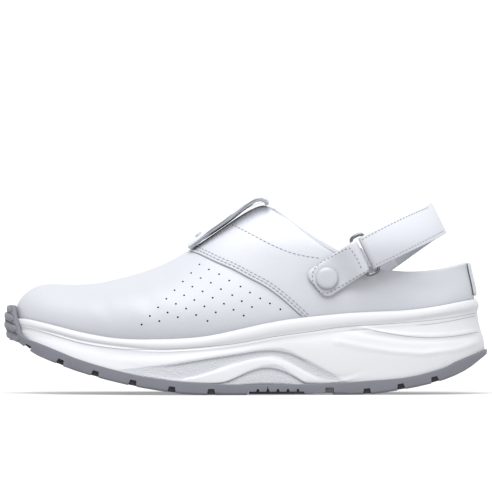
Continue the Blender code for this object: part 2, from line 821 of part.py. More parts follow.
def strap_half_path():
    """The strap's middle line on the outer side, as reach and depth, from its tail to the back."""
    path = []
    inner = strap_half_span - 2 * loop_radius
    closed = strap_half_span - strip_thickness - 2 * fit_gap
    path.append((strap_tail, -closed))
    path.append((strap_tail_flat, -closed))
    path.append((strap_tail_bend, -(closed + inner) / 2))
    for i in range(7):
        turn = math.pi * i / 6
        swing = loop_radius * math.sin(turn)
        depth = strap_half_span - loop_radius * (1 + math.cos(turn))
        path.append((bar_reach(0) - swing, -depth))
    path.append((strap_straight, -strap_half_span))
    bend = strap_reach - strap_straight
    for i in range(1, 10):
        turn = math.pi / 2 * i / 9
        path.append((strap_straight + bend * math.sin(turn), -strap_half_span * math.cos(turn)))
    return path


def band(name, path, thickness, half_width, place, finish):
    """A strip of leather with its middle line on a path of reach and depth."""
    line = np.array(path)
    run = np.gradient(line, axis=0)
    run /= np.linalg.norm(run, axis=1)[:, None]
    side = np.stack([run[:, 1], -run[:, 0]], axis=1)
    one = line + side * thickness / 2
    two = line - side * thickness / 2
    rises = (-half_width, 0.0, half_width)
    grids = [[[place(*point, rise) for rise in rises] for point in edge] for edge in (one, two)]
    return patch(name, grids[0], grids[1], finish)


def make_strap():
    half = strap_half_path()
    path = half + [(reach, -y) for reach, y in reversed(half[:-1])]
    band("heel_strap", path, strip_thickness, strap_width / 2, strap_place, "white_leather")


def make_ring(name, side):
    """A wire ring: a long bar in the strap's fold and one in the anchor's, with round ends."""
    depth = side * (strap_half_span - loop_radius)
    middle = (bar_reach(0) + bar_reach(1)) / 2
    half_run = ring_gap / 2
    half_rise = strap_width / 2 + wire_radius + 3 * fit_gap
    corner = half_run * 0.6
    path = []
    for quadrant, (a, b) in enumerate(((1, 1), (-1, 1), (-1, -1), (1, -1))):
        for i in range(4):
            turn = math.pi / 2 * (quadrant + i / 3)
            path.append(
                (
                    a * (half_run - corner) + corner * math.cos(turn),
                    b * (half_rise - corner) + corner * math.sin(turn),
                )
            )
    line = [strap_place(middle + a, depth, b) for a, b in path]
    across = np.array([0, 1.0, 0])
    sides = 8
    points, faces = [], []
    for i, here in enumerate(line):
        run = line[(i + 1) % len(line)] - line[i - 1]
        run /= np.linalg.norm(run)
        out = np.cross(run, across)
        out /= np.linalg.norm(out)
        up = np.cross(out, run)
        for k in range(sides):
            turn = 2 * math.pi * k / sides
            points.append(here + wire_radius * (out * math.cos(turn) + up * math.sin(turn)))
    for i in range(len(line)):
        after = (i + 1) % len(line)
        for k in range(sides):
            beside = (k + 1) % sides
            faces.append(
                (i * sides + k, after * sides + k, after * sides + beside, i * sides + beside)
            )
    return add(name, points, faces, "dark_metal")


ANCHOR_END_LEAN = math.radians(-40)
ANCHOR_END_CUT, ANCHOR_END_SHARE = 0.30, 0.10
ANCHOR_LEAVES = 0.45
ANCHOR_DROP_SHARE = 0.5


def surface_depth(x, z, side):
    """How far out the upper's outer face lies at x and z, or None past its edge."""
    found = upper_tree.ray_cast(Vector((x, side * ball_width, z)), Vector((0, -side, 0)))[0]
    if found is None or found.y * side < 0.15 * ball_width:
        return None
    return found.y * side


def make_anchor(name, side):
    """The strap that is snapped to the quarter: over the upper, round the bar and back."""
    drop = ANCHOR_DROP_SHARE * inner_side_drop if side == INNER else 0
    start = np.array([length_at(anchor_from.along), 0, throat_height * anchor_from.height - drop])
    bar = strap_place(bar_reach(1), side * (strap_half_span - loop_radius), 0)
    bar_out = bar + np.array([0, side * loop_radius, 0])
    start_rise = np.array([math.sin(ANCHOR_END_LEAN), 0, math.cos(ANCHOR_END_LEAN)])
    half = strap_width / 2
    lift = strip_thickness / 2 + 2 * fit_gap
    shares = np.linspace(0, 1, 12)
    widths = np.linspace(-1, 1, 7)
    grid = []
    for u in shares:
        corner = 1 - ANCHOR_END_CUT * max(0, 1 - u / ANCHOR_END_SHARE) ** 2
        row = []
        for v in widths:
            first = start + start_rise * half * v * corner
            last = bar_out + strap_rise * half * v
            row.append(first + (last - first) * u)
        grid.append(row)
    grid = np.array(grid)
    for c in range(len(widths)):
        depths = []
        for r in range(len(shares)):
            found = surface_depth(grid[r, c, 0], grid[r, c, 2], side)
            depths.append(None if found is None else found + lift)
        known = [d for d in depths if d is not None]
        slope = known[-1] - known[-2]
        for r in range(len(known), len(shares)):
            depths[r] = known[-1] + slope * (r - len(known) + 1)
        for r, u in enumerate(shares):
            share = 1 - ease(ANCHOR_LEAVES, 1.0, u)
            blended = depths[r] + (bar_out[1] * side - depths[r]) * share
            grid[r, c, 1] = side * (max(blended, depths[r]) if r < len(known) else blended)
        grid[-1, c, 1] = bar_out[1]
    rows = [list(row) for row in grid]
    for i in range(1, 7):
        turn = math.pi * i / 6
        swing = strap_run * loop_radius * math.sin(turn)
        depth = np.array([0, side * loop_radius * math.cos(turn), 0])
        rows.append([bar + strap_rise * half * v + swing + depth for v in widths])
    rows.append([point - strap_run * anchor_tail for point in rows[-1]])
    grid = np.array(rows)
    along = np.gradient(grid, axis=0)
    across = np.gradient(grid, axis=1)
    normal = np.cross(along, across)
    normal /= np.linalg.norm(normal, axis=2)[:, :, None]
    step = normal * strip_thickness / 2
    made = patch(name, grid - step, grid + step, "white_leather")
    place_snap("snap" + name[len("anchor"):], grid, side)
    return made


def place_snap(name, grid, side):
    """The cap on the anchor, a little way in from its rounded end."""
    line = grid[:8, grid.shape[1] // 2]
    from_end = np.linalg.norm(line - line[0], axis=1)
    row = int(np.argmin(abs(from_end - snap_from_end)))
    normal = Vector(grid_normals(grid[:8], (0, side, 0))[row, grid.shape[1] // 2])
    seat = Vector(line[row]) + normal * (strip_thickness / 2 + 2 * fit_gap)
    cap_line = ((0.94, 0), (1, 0.12), (1, 0.45), (0.93, 0.75), (0.8, 0.9), (0.5, 0.98))
    turned(name, seat, normal, snap_radius, snap_height, cap_line, "white_plastic", 28)


make_gusset()
make_tab()
make_backstay()
make_strap()
for side_name, which_side in (("lateral", OUTER), ("medial", INNER)):
    make_ring("ring_" + side_name, which_side)
    make_anchor("anchor_" + side_name, which_side)
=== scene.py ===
import math
import random

import bpy
import numpy as np
from mathutils import Matrix, Vector
from mathutils.bvhtree import BVHTree


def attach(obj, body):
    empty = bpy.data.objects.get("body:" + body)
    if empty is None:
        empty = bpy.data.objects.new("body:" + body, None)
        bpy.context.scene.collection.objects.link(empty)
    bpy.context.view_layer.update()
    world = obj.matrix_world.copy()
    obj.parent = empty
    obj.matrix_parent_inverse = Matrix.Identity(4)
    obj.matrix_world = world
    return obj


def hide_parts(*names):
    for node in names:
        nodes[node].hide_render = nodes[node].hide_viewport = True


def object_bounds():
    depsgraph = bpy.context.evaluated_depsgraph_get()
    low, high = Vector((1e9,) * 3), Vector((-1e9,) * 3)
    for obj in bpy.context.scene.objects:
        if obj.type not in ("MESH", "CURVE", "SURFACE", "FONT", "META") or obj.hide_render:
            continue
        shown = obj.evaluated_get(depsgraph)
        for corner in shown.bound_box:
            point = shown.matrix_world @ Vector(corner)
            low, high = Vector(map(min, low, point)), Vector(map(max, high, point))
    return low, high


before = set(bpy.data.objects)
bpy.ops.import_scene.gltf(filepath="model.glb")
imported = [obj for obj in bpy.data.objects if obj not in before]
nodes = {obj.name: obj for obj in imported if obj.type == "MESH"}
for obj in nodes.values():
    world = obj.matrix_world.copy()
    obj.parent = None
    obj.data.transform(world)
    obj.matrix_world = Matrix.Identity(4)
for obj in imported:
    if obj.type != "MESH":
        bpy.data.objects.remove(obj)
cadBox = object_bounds()
scene = bpy.context.scene
random.seed(7)
shoeLength = round(cadBox[1][0] - cadBox[0][0], 4)
print("frame loaded:", len(nodes), "nodes")

# metres in one pixel of the photo at the shoe, its floor line and middle column, and where the eye is
photo = {"pixel": 0.000581, "floorRow": 393.3, "middleColumn": 246.0, "distance": 4.0, "height": 0.0856}
eye = Vector((0, -photo["distance"], photo["height"]))
bothSides = (False, True)  # the outer side, then the inner one


def fromPhoto(column, row):
    return (column - photo["middleColumn"]) * photo["pixel"], (photo["floorRow"] - row) * photo["pixel"]


# working helpers

copying = {"merge": 0.00002, "sharpFrom": 50, "bevelFrom": 38}  # metres, degrees, degrees


def only(thing):
    bpy.ops.object.select_all(action="DESELECT")
    thing.select_set(True)
    bpy.context.view_layer.objects.active = thing


def applyAll(thing):
    only(thing)
    for name in [m.name for m in thing.modifiers]:
        bpy.ops.object.modifier_apply(modifier=name)


# a copy of a CAD node with its corners merged and its four-sided faces found again
def fineCopy(node, name, levels=0, bevel=0.0, segments=2, crease=0.0):
    thing = nodes[node].copy()
    thing.data = nodes[node].data.copy()
    thing.name = name
    thing.data.name = name
    thing.parent = None
    for key in list(thing.keys()):
        del thing[key]
    scene.collection.objects.link(thing)
    thing.data.materials.clear()
    only(thing)
    bpy.ops.object.mode_set(mode="EDIT")
    bpy.ops.mesh.select_all(action="SELECT")
    bpy.ops.mesh.customdata_custom_splitnormals_clear()
    bpy.ops.mesh.remove_doubles(threshold=copying["merge"])
    bpy.ops.mesh.tris_convert_to_quads(face_threshold=math.pi, shape_threshold=math.pi)
    if crease:
        bpy.ops.mesh.select_mode(type="EDGE")
        bpy.ops.mesh.select_all(action="DESELECT")
        bpy.ops.mesh.edges_select_sharp(sharpness=math.radians(copying["sharpFrom"]))
        bpy.ops.transform.edge_crease(value=crease)
        bpy.ops.mesh.select_all(action="SELECT")
    bpy.ops.object.mode_set(mode="OBJECT")
    if bevel:
        edge = thing.modifiers.new("soft edge", "BEVEL")
        edge.width = bevel
        edge.segments = segments
        edge.limit_method = "ANGLE"
        edge.angle_limit = math.radians(copying["bevelFrom"])
        edge.harden_normals = False
        applyAll(thing)
    if levels:
        smoother = thing.modifiers.new("smoother", "SUBSURF")
        smoother.levels = levels
        smoother.render_levels = levels
        applyAll(thing)
    bpy.ops.object.shade_smooth()
    return thing


def meshThing(name, points, faces):
    mesh = bpy.data.meshes.new(name)
    mesh.from_pydata([tuple(p) for p in points], [], faces)
    thing = bpy.data.objects.new(name, mesh)
    scene.collection.objects.link(thing)
    only(thing)
    return thing


def facesOutwards(bevel=0.0):
    bpy.ops.object.mode_set(mode="EDIT")
    bpy.ops.mesh.select_all(action="SELECT")
    bpy.ops.mesh.normals_make_consistent(inside=False)
    if bevel:
        bpy.ops.mesh.bevel(offset=bevel, segments=2)
    bpy.ops.object.mode_set(mode="OBJECT")


# a piece rides the shoe's one body and takes the place of its CAD node, where it has one
def finished(thing, node, slot, *materials):
    for material in materials:
        thing.data.materials.append(material)
    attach(thing, "root")
    if node:
        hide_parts(node)
    return thing


def dressed(node, name, slot, material, **refining):
    return finished(fineCopy(node, name, **refining), node, slot, material)


def pointsOf(mesh):
    points = np.empty(len(mesh.vertices) * 3)
    mesh.vertices.foreach_get("co", points)
    return points.reshape(-1, 3)


def normalsOf(mesh):
    return np.array([v.normal for v in mesh.vertices])


# each point moved along its normal
def pushOut(mesh, shift):
    points = pointsOf(mesh) + normalsOf(mesh) * shift[:, None]
    mesh.vertices.foreach_set("co", points.ravel())
    mesh.update()


# 1 on a line and falling to 0 beside it
def hump(away, wide):
    return np.exp(-((away / wide) ** 2))


# materials

def newMaterial(name, colour, roughness, **more):
    material = bpy.data.materials.new(name)
    material.use_nodes = True
    shader = material.node_tree.nodes["Principled BSDF"]
    shader.inputs["Base Color"].default_value = (*colour, 1)
    shader.inputs["Roughness"].default_value = roughness
    for key, value in more.items():
        shader.inputs[key.replace("_", " ")].default_value = value
    return material


def addNode(material, kind, links=(), **settings):
    tree = material.node_tree
    node = tree.nodes.new(kind)
    for key, value in settings.items():
        if hasattr(node, key):
            setattr(node, key, value)
        else:
            node.inputs[key.replace("_", " ")].default_value = value
    for socket, source in links:
        tree.links.new(source, node.inputs[socket])
    return node


def objectPlace(material):
    return addNode(material, "ShaderNodeTexCoord").outputs["Object"]


def noise(material, scale, detail, rough):
    place = [("Vector", objectPlace(material))]
    cloud = addNode(material, "ShaderNodeTexNoise", place, Scale=scale, Detail=detail, Roughness=rough)
    return cloud.outputs["Fac"]


def bump(material, height, strength, distance, under=None):
    links = [("Height", height)]
    if under is not None:
        links.append(("Normal", under))
    relief = addNode(material, "ShaderNodeBump", links, Strength=strength, Distance=distance)
    return relief.outputs["Normal"]


def toShader(material, socket, output):
    shader = material.node_tree.nodes["Principled BSDF"]
    material.node_tree.links.new(output, shader.inputs[socket])


# what feeds a socket of the shader so far
def sourceOf(material, socket):
    return material.node_tree.nodes["Principled BSDF"].inputs[socket].links[0].from_socket


# a slow drift between two near colours, and between two roughnesses
def drift(material, scale, colours, rough):
    spread = noise(material, scale, 4, 0.6)
    first, second = colours
    mix = addNode(
        material, "ShaderNodeMix", [("Factor", spread)],
        data_type="RGBA", A=(*first, 1), B=(*second, 1),
    )
    toShader(material, "Base Color", mix.outputs["Result"])
    span = addNode(
        material, "ShaderNodeMapRange", [("Value", spread)],
        From_Min=0.3, From_Max=0.7, To_Min=rough[0], To_Max=rough[1],
    )
    toShader(material, "Roughness", span.outputs["Result"])


def leatherMaterial(name, colours, grain):
    material = newMaterial(name, colours[0], 0.42)
    drift(material, 28, colours, (0.38, 0.5))
    place = [("Vector", objectPlace(material))]
    pores = addNode(material, "ShaderNodeTexVoronoi", place, Scale=1500.0, feature="SMOOTH_F1")
    lower = bump(material, noise(material, 60, 3, 0.5), 0.25, 0.0006)
    middle = bump(material, noise(material, 420, 5, 0.6), grain, 0.00022, lower)
    upper = bump(material, pores.outputs["Distance"], grain * 0.6, 0.0001, middle)
    toShader(material, "Normal", upper)
    return material


# a colour made darker or paler by height, as painted shade low down and painted highlight high up: each
# tone is a height and the share of the colour there
def paintedShadeByHeight(material, tones):
    plain = sourceOf(material, "Base Color")
    low, high = tones[0][0], tones[-1][0]
    most = max(share for height, share in tones)
    parts = addNode(material, "ShaderNodeSeparateXYZ", [("Vector", objectPlace(material))])
    byHeight = [("Value", parts.outputs["Z"])]
    span = addNode(material, "ShaderNodeMapRange", byHeight, From_Min=low, From_Max=high)
    curve = addNode(material, "ShaderNodeFloatCurve", [("Value", span.outputs["Result"])])
    line = curve.mapping.curves[0].points
    line[0].location = (0, tones[0][1] / most)
    line[1].location = (1, tones[-1][1] / most)
    for height, share in tones[1:-1]:
        line.new((height - low) / (high - low), share / most)
    curve.mapping.update()
    grown = addNode(material, "ShaderNodeMath", [(0, curve.outputs["Value"])], operation="MULTIPLY")
    grown.inputs[1].default_value = most
    tone = addNode(material, "ShaderNodeVectorMath", [(0, plain)], operation="SCALE")
    material.node_tree.links.new(grown.outputs["Value"], tone.inputs["Scale"])
    toShader(material, "Base Color", tone.outputs["Vector"])


# grain for the smaller materials: two scales of relief and a drift of colour
def grained(name, colours, rough, grain, relief, **more):
    material = newMaterial(name, colours[0], rough[0], **more)
    drift(material, grain / 12, colours, rough)
    under = bump(material, noise(material, grain, 4, 0.6), relief, 0.0003)
    over = bump(material, noise(material, grain * 3.4, 3, 0.6), relief * 0.7, 0.00012, under)
    toShader(material, "Normal", over)
    return material


# ribs of cloth or rubber thread laid over a material
def ribbed(material, scale, direction, relief):
    ribs = addNode(
        material, "ShaderNodeTexWave", [("Vector", objectPlace(material))],
        Scale=scale, Distortion=0.6, Detail=1.0, bands_direction=direction,
    )
    over = bump(material, ribs.outputs["Fac"], relief, 0.0003, sourceOf(material, "Normal"))
    toShader(material, "Normal", over)


# smooth moulded foam, pebbled where the piece's attribute "stipple" is 1, and greyer there as painted
# shade of those recessed, downward-facing zones
def foamMaterial(colours, zoneShadeColour):
    foam = newMaterial("white foam", (0.57, 0.58, 0.6), 0.5)
    drift(foam, 22, colours, (0.45, 0.58))
    marked = addNode(foam, "ShaderNodeAttribute", attribute_name="stipple").outputs["Fac"]
    skin = bump(foam, noise(foam, 2600, 2, 0.5), 0.12, 0.0001)
    pebble = [(0, noise(foam, 1100, 2, 0.5)), (1, marked)]
    pebbled = addNode(foam, "ShaderNodeMath", pebble, operation="MULTIPLY")
    toShader(foam, "Normal", bump(foam, pebbled.outputs["Value"], 0.9, 0.0005, skin))
    # the stippled zones tinted greyer: painted shade
    tints = [("Factor", marked), ("A", sourceOf(foam, "Base Color"))]
    tint = addNode(foam, "ShaderNodeMix", tints, data_type="RGBA", B=(*zoneShadeColour, 1))
    toShader(foam, "Base Color", tint.outputs["Result"])
    return foam


def rubberMaterial(colours):
    rubber = newMaterial("grey rubber", (0.14, 0.14, 0.165), 0.62)
    drift(rubber, 60, colours, (0.55, 0.7))
    toShader(rubber, "Normal", bump(rubber, noise(rubber, 1300, 4, 0.65), 0.45, 0.0002))
    return rubber


leather = leatherMaterial("white leather", ((0.405, 0.417, 0.449), (0.43, 0.442, 0.472)), 0.35)
# the leather is painted darker towards the sole and paler near the collar: painted shade and painted
# highlight
leatherPaintedShadeTones = ((0.034, 0.76), (0.05, 0.91), (0.066, 0.95), (0.08, 1.01), (0.092, 1.2), (0.105, 1.24))
paintedShadeByHeight(leather, leatherPaintedShadeTones)
lining = leatherMaterial("grey lining", ((0.50, 0.51, 0.54), (0.56, 0.57, 0.60)), 0.9)
ribbed(lining, 330, "X", 0.35)
foam = foamMaterial(((0.475, 0.483, 0.505), (0.5, 0.508, 0.525)), (0.385, 0.395, 0.42))
rubber = rubberMaterial(((0.13, 0.13, 0.155), (0.155, 0.155, 0.182)))
print("materials made")

# places on the surfaces, looked up through the photo

tracing = {"step": 0.7, "longest": 0.006}  # pixels between looks, and the longest jump in metres
# the inner side's strap and anchor hang lower, most at the ring and half as much at the anchor's tip
innerSide = {"drop": 0.0095, "anchorTip": 0.0397, "ring": 0.0698, "strapBack": 0.1111}


def treeOf(thing):
    mesh = thing.data
    return BVHTree.FromPolygons([v.co for v in mesh.vertices], [tuple(p.vertices) for p in mesh.polygons])


def hang(x):
    tip, ring, back = innerSide["anchorTip"], innerSide["ring"], innerSide["strapBack"]
    if x > ring:
        return innerSide["drop"] * max(0, (back - x) / (back - ring))
    return innerSide["drop"] / 2 * (1 + min(max((x - tip) / (ring - tip), 0), 1))


# a spot as (place, normal): through the photo's pixel on the outer side, mirrored on the inner one
def spotOn(tree, column, row, inner=False, outerTree=None):
    x, z = fromPhoto(column, row)
    place, normal = (outerTree or tree).ray_cast(eye, (Vector((x, 0, z)) - eye).normalized())[:2]
    if place is None or not inner:
        return place and (place, normal)
    level = place.z - (hang(place.x) if outerTree else 0)
    place, normal = tree.ray_cast(Vector((place.x, 0.3, level)), Vector((0, -1, 0)))[:2]
    return place and (place, normal)


# a smooth curve through the points, in steps of about the given length
def softLine(points, step):
    points = np.array(points, float)
    ends = np.vstack([2 * points[0] - points[1], points, 2 * points[-1] - points[-2]])
    line = []
    for i in range(1, len(ends) - 2):
        a, b, c, d = ends[i - 1:i + 3]
        lean = (c - a) / 2
        bend = a - 2.5 * b + 2 * c - d / 2
        twist = 1.5 * b - a / 2 - 1.5 * c + d / 2
        parts = max(2, int(np.linalg.norm(c - b) / step))
        for t in np.arange(parts) / parts:
            line.append(b + lean * t + bend * t**2 + twist * t**3)
    return line + [points[-1]]


# even steps along a line of the photo, as (place, normal, run)
def pathOn(tree, line, pitch, inner=False, outerTree=None):
    looks = softLine(line, tracing["step"])
    found = [spotOn(tree, column, row, inner, outerTree) for column, row in looks]
    found = [spot for spot in found if spot]
    path = []
    gone = pitch / 2
    for (here, normal), (there, _) in zip(found, found[1:]):
        run = there - here
        length = run.length
        if length > tracing["longest"]:
            continue
        while gone < length:
            path.append((here + run * (gone / length), normal, run.normalized()))
            gone += pitch
        gone -= length
    return path


def pathsOnBoth(tree, lines, pitch):
    return [pathOn(tree, line, pitch, inner) for inner in bothSides for line in lines]


# a line of the photo moved sideways by some pixels, upwards where it runs to the right
def raised(line, rise):
    points = np.array(line, float)
    run = np.gradient(points, axis=0)
    run /= np.linalg.norm(run, axis=1)[:, None]
    return [(x + dy * rise, y - dx * rise) for (x, y), (dx, dy) in zip(points, run)]


# one mesh from many copies of a small shape, each turned to its place
def scatter(name, shape, placed):
    corners = np.array([v.co for v in shape.data.vertices])
    shapeFaces = [tuple(p.vertices) for p in shape.data.polygons]
    points = []
    faces = []
    for place, normal, run in placed:
        side = normal.cross(run).normalized()
        ahead = side.cross(normal).normalized()
        turned = corners @ np.array([ahead, side, normal]) + np.array(place)
        faces += [tuple(i + len(points) for i in face) for face in shapeFaces]
        points += turned.tolist()
    thing = meshThing(name, points, faces)
    bpy.ops.object.shade_smooth()
    return thing


ropeCorners = 8  # round a rope's section


# a thin rope swept along each path, its ends tapered into the surface
def rope(name, paths, section, material):
    points = []
    faces = []
    turns = [2 * math.pi * k / ropeCorners for k in range(ropeCorners)]
    for path in paths:
        first = len(points)
        for i, (place, normal, run) in enumerate(path):
            side = normal.cross(run).normalized()
            taper = min(1, (i + 0.3) / 3, (len(path) - 0.7 - i) / 3)
            middle = place + normal * section["lift"] * taper
            across = side * (section["half"] * taper)
            up = normal * (section["tall"] * taper)
            points += [middle + across * math.cos(turn) + up * math.sin(turn) for turn in turns]
        last = len(points) - ropeCorners
        for here in range(first, last, ropeCorners):
            there = here + ropeCorners
            for k in range(ropeCorners):
                after = (k + 1) % ropeCorners
                faces.append((here + k, here + after, there + after, there + k))
        faces.append(tuple(first + k for k in reversed(range(ropeCorners))))
        faces.append(tuple(last + k for k in range(ropeCorners)))
    thing = meshThing(name, points, faces)
    facesOutwards()
    bpy.ops.object.shade_smooth()
    return finished(thing, None, None, material)


# a stitch is a small loaf of thread, its ends sunk into the leather
def stitchShape(length, width, rise):
    bpy.ops.mesh.primitive_uv_sphere_add(segments=8, ring_count=5, radius=0.5)
    shape = bpy.context.object
    bpy.ops.object.mode_set(mode="EDIT")
    bpy.ops.transform.rotate(value=math.pi / 2, orient_axis="Y", center_override=(0, 0, 0))
    bpy.ops.transform.resize(value=(length, width, rise), center_override=(0, 0, 0))
    bpy.ops.object.mode_set(mode="OBJECT")
    return shape


def stitched(name, paths, stitch, material):
    shape = stitchShape(stitch["length"], stitch["width"], stitch["rise"])
    placed = []
    for path in paths:
        for place, normal, run in path:
            turn = Matrix.Rotation(random.gauss(0, stitch["wobble"]), 3, normal)
            placed.append((place + normal * stitch["lift"], normal, turn @ run))
    thing = scatter(name, shape, placed)
    bpy.data.objects.remove(shape, do_unlink=True)
    return finished(thing, None, None, material)


# the leather upper

upperShape = {
    "levels": 2,
    "holeRadius": 0.00058,
    "holeDepth": 0.0011,
    "holeStep": (-8.25, 8.6),  # from hole to hole of a row, in pixels
    "core": (0.105, -0.002, 0.035),  # the line along the foot that the lining faces: half length, y, z
    "liningSlope": 0.6,  # faces that look up more than this are leather
    "creasePitch": 0.0015,
    "ridgeAt": 1.7,  # how far off the ridge beside a crease is, in widths of the crease
}
# first hole of each slanted row and how many there are in it
holeRows = (
    (199.4, 264.3, 8), (208.9, 269.4, 7), (219.1, 274.1, 6), (229.2, 280.5, 5), (240.5, 286.5, 5),
    (250.0, 292.5, 3), (260.2, 298.3, 3), (269.9, 303.4, 1), (280.3, 309.2, 1),
)
seamLine = (
    (189.5, 250.5), (199.4, 253.7), (216.7, 261.9), (233, 268.9), (249.3, 277.6),
    (265.5, 286.2), (281.8, 298.2), (300, 314.4), (303.5, 318),
)
collarStitchLine = (
    (231.8, 224.2), (250.7, 233.9), (271.5, 244.7), (289.7, 252.2), (304.6, 255.9), (318.7, 258),
)
# soft creases: a line of the photo, then how deep, how wide and how high the ridge beside it is
softCreases = (
    (((96, 292), (104, 306), (115, 322)), 0.00022, 0.0042, 0.00012),
    (((132, 276), (141, 292), (154, 310), (163, 326)), 0.0003, 0.0046, 0.00018),
    (((160, 266), (168, 282), (178, 296)), 0.0002, 0.0038, 0.00012),
    (((333, 293), (345, 289), (360, 288), (380, 291)), 0.00035, 0.0032, 0.0002),
    (((300, 262), (307, 270), (305, 284), (311, 297)), 0.00028, 0.0034, 0.00015),
    (((262, 210), (270, 222), (282, 232), (298, 240)), 0.00022, 0.0046, 0.0001),
    (((402, 282), (418, 288), (440, 289), (458, 283)), 0.00022, 0.0044, 0.0001),
)
seamStitch = {
    "length": 0.0021, "width": 0.00062, "rise": 0.00055, "lift": 0.00004, "wobble": 0.035,
    "pitch": 0.0027, "rows": (2.9, 5.6),  # the two rows, in pixels above the seam
}
# the quarter's turned edge along the seam, and the dark line in its shadow
seamEdge = {"half": 0.0007, "tall": 0.00042, "lift": 0.0001, "rise": 0.9, "pitch": 0.0012}
seamShade = {"half": 0.00034, "tall": 0.0002, "lift": 0.00002, "rise": -0.5, "pitch": 0.0012}


def softenWith(thing, creases):
    tree = treeOf(thing)
    points = pointsOf(thing.data)
    shift = np.zeros(len(points))
    for line, deep, wide, high in creases:
        for path in pathsOnBoth(tree, [line], upperShape["creasePitch"]):
            least = np.full(len(points), 1e9)
            share = np.zeros(len(points))
            for i, spot in enumerate(path):
                away = np.linalg.norm(points - np.array(spot[0]), axis=1)
                nearer = away < least
                least[nearer] = away[nearer]
                share[nearer] = (i + 0.5) / len(path)
            fade = np.sin(math.pi * np.clip(share, 0.02, 0.98)) ** 0.7
            ridge = high * hump(least - upperShape["ridgeAt"] * wide, wide)
            shift += fade * (ridge - deep * hump(least, wide))
    pushOut(thing.data, shift)


def showsLining(face):
    reach, middleY, level = upperShape["core"]
    core = Vector((min(max(face.center.x, -reach), reach), middleY, level))
    return face.normal.dot(face.center - core) <= 0 and face.normal.z <= upperShape["liningSlope"]


def holesOn(tree):
    holes = []
    for inner in bothSides:
        for column, row, count in holeRows:
            for i in range(count):
                across, down = (i * step for step in upperShape["holeStep"])
                place, normal = spotOn(tree, column + across, row + down, inner)
                holes.append((place, normal, normal.orthogonal().normalized()))
    return holes


# the holes are cut out, and a twin of the uncut surface lends its normals, so the shading stays smooth
def punch(thing, holes, material):
    radius, depth = upperShape["holeRadius"], upperShape["holeDepth"]
    bpy.ops.mesh.primitive_cylinder_add(vertices=12, radius=radius, depth=2 * depth)
    pin = bpy.context.object
    pins = scatter("holePins", pin, holes)
    pins.data.materials.append(material)
    cut = thing.modifiers.new("holes", "BOOLEAN")
    cut.operation = "DIFFERENCE"
    cut.solver = "EXACT"
    cut.material_mode = "TRANSFER"
    cut.object = pins
    smoothTwin = thing.copy()
    smoothTwin.data = thing.data.copy()
    smoothTwin.modifiers.clear()
    scene.collection.objects.link(smoothTwin)
    shading = thing.modifiers.new("shading", "DATA_TRANSFER")
    shading.object = smoothTwin
    shading.use_loop_data = True
    shading.data_types_loops = {"CUSTOM_NORMAL"}
    shading.loop_mapping = "POLYINTERP_NEAREST"
    applyAll(thing)
    for helper in (smoothTwin, pins, pin):
        bpy.data.objects.remove(helper, do_unlink=True)


shoeUpper = fineCopy("upper", "leatherUpper", levels=upperShape["levels"])
softenWith(shoeUpper, softCreases)
upperTree = treeOf(shoeUpper)
seamRows = [raised(seamLine, rise) for rise in seamStitch["rows"]]
seamPaths = pathsOnBoth(upperTree, seamRows, seamStitch["pitch"])
collarPaths = pathsOnBoth(upperTree, [collarStitchLine], seamStitch["pitch"])
# the holes' walls and floors are near black: painted shade standing for the depth of a through hole
holeShade = grained("hole shade", ((0.045, 0.045, 0.055), (0.06, 0.06, 0.07)), (0.85, 0.95), 1500, 0.3)
for material in (leather, lining, holeShade):
    shoeUpper.data.materials.append(material)
for face in shoeUpper.data.polygons:
    face.material_index = int(showsLining(face))
holes = holesOn(upperTree)
punch(shoeUpper, holes, holeShade)
finished(shoeUpper, "upper", "leather")
print("upper:", len(shoeUpper.data.polygons), "faces,", len(holes), "holes")

# grey thread painted darker than its own colour: partly the thread, partly painted shade of the sunken
# stitch holes
threadAndShade = grained("threadAndShade", ((0.22, 0.225, 0.255), (0.27, 0.275, 0.305)), (0.6, 0.8), 2400, 0.5)
stitched("seamStitches", seamPaths, seamStitch, threadAndShade)
stitched("collarStitches", collarPaths, seamStitch, threadAndShade)
print("stitches:", sum(len(path) for path in seamPaths + collarPaths))

# a near-black rope colour: painted shade along the seam's turned edge and the tab's edges
paintedShadeLine = grained("paintedShadeLine", ((0.16, 0.165, 0.19), (0.2, 0.205, 0.23)), (0.85, 0.95), 1500, 0.4)
for name, section, material in (("seamEdge", seamEdge, leather), ("seamShade", seamShade, paintedShadeLine)):
    paths = pathsOnBoth(upperTree, [raised(seamLine, section["rise"])], section["pitch"])
    rope(name, paths, section, material)

# the midsole

midsoleShape = {
    "levels": 3,
    "crease": 0.85,
    "zoneDepth": 0.0002,
    "zoneEdge": 1.1,  # pixels
    "lipHeight": 0.00005,
    "lipWidth": 1.4,
    "sideFrom": 0.35,  # relief starts on faces that look this much sideways, and is full a little past it
    "sideSpan": 0.3,
}
# the stippled band over the arch and the stippled hill under it
archBand = (
    (118, 369.6), (153.6, 365.7), (180.4, 361.3), (207, 357.2), (240, 352.3), (254.9, 349.5),
    (271.5, 347.8), (281.4, 347.8), (291.4, 350.7), (312.9, 362.3), (333.7, 373.9), (346.1, 381.4),
    (338, 384), (321.2, 379.8), (304.6, 370.6), (292.2, 363.2), (279.8, 356.5), (271.5, 355.3),
    (259, 357.4), (230, 364), (180, 380), (150, 378.5),
)
archHill = (
    (222, 384), (230, 379.8), (246.6, 370.6), (263.2, 364.8), (273.1, 363.6), (281.4, 365.7),
    (292.2, 373.1), (304.6, 381.4), (306, 387), (222, 388),
)
# ridges and a groove along the heel: a line of the photo, the height in metres, the width in pixels
heelLines = (
    (
        ((363.7, 327.6), (380.4, 331.8), (405.4, 334.8), (430.5, 335.9), (455.6, 334.3), (480.6, 330.1)),
        0.0005, 1.5,
    ),
    (((352, 331), (378, 336), (404, 339.5), (430, 340.5), (456, 339), (481, 335)), -0.0004, 2.2),
    (
        ((336.9, 341.8), (366, 347.5), (394, 351.5), (422.1, 353.5), (455, 349.5), (484.8, 340.1)),
        0.0005, 2.6,
    ),
)
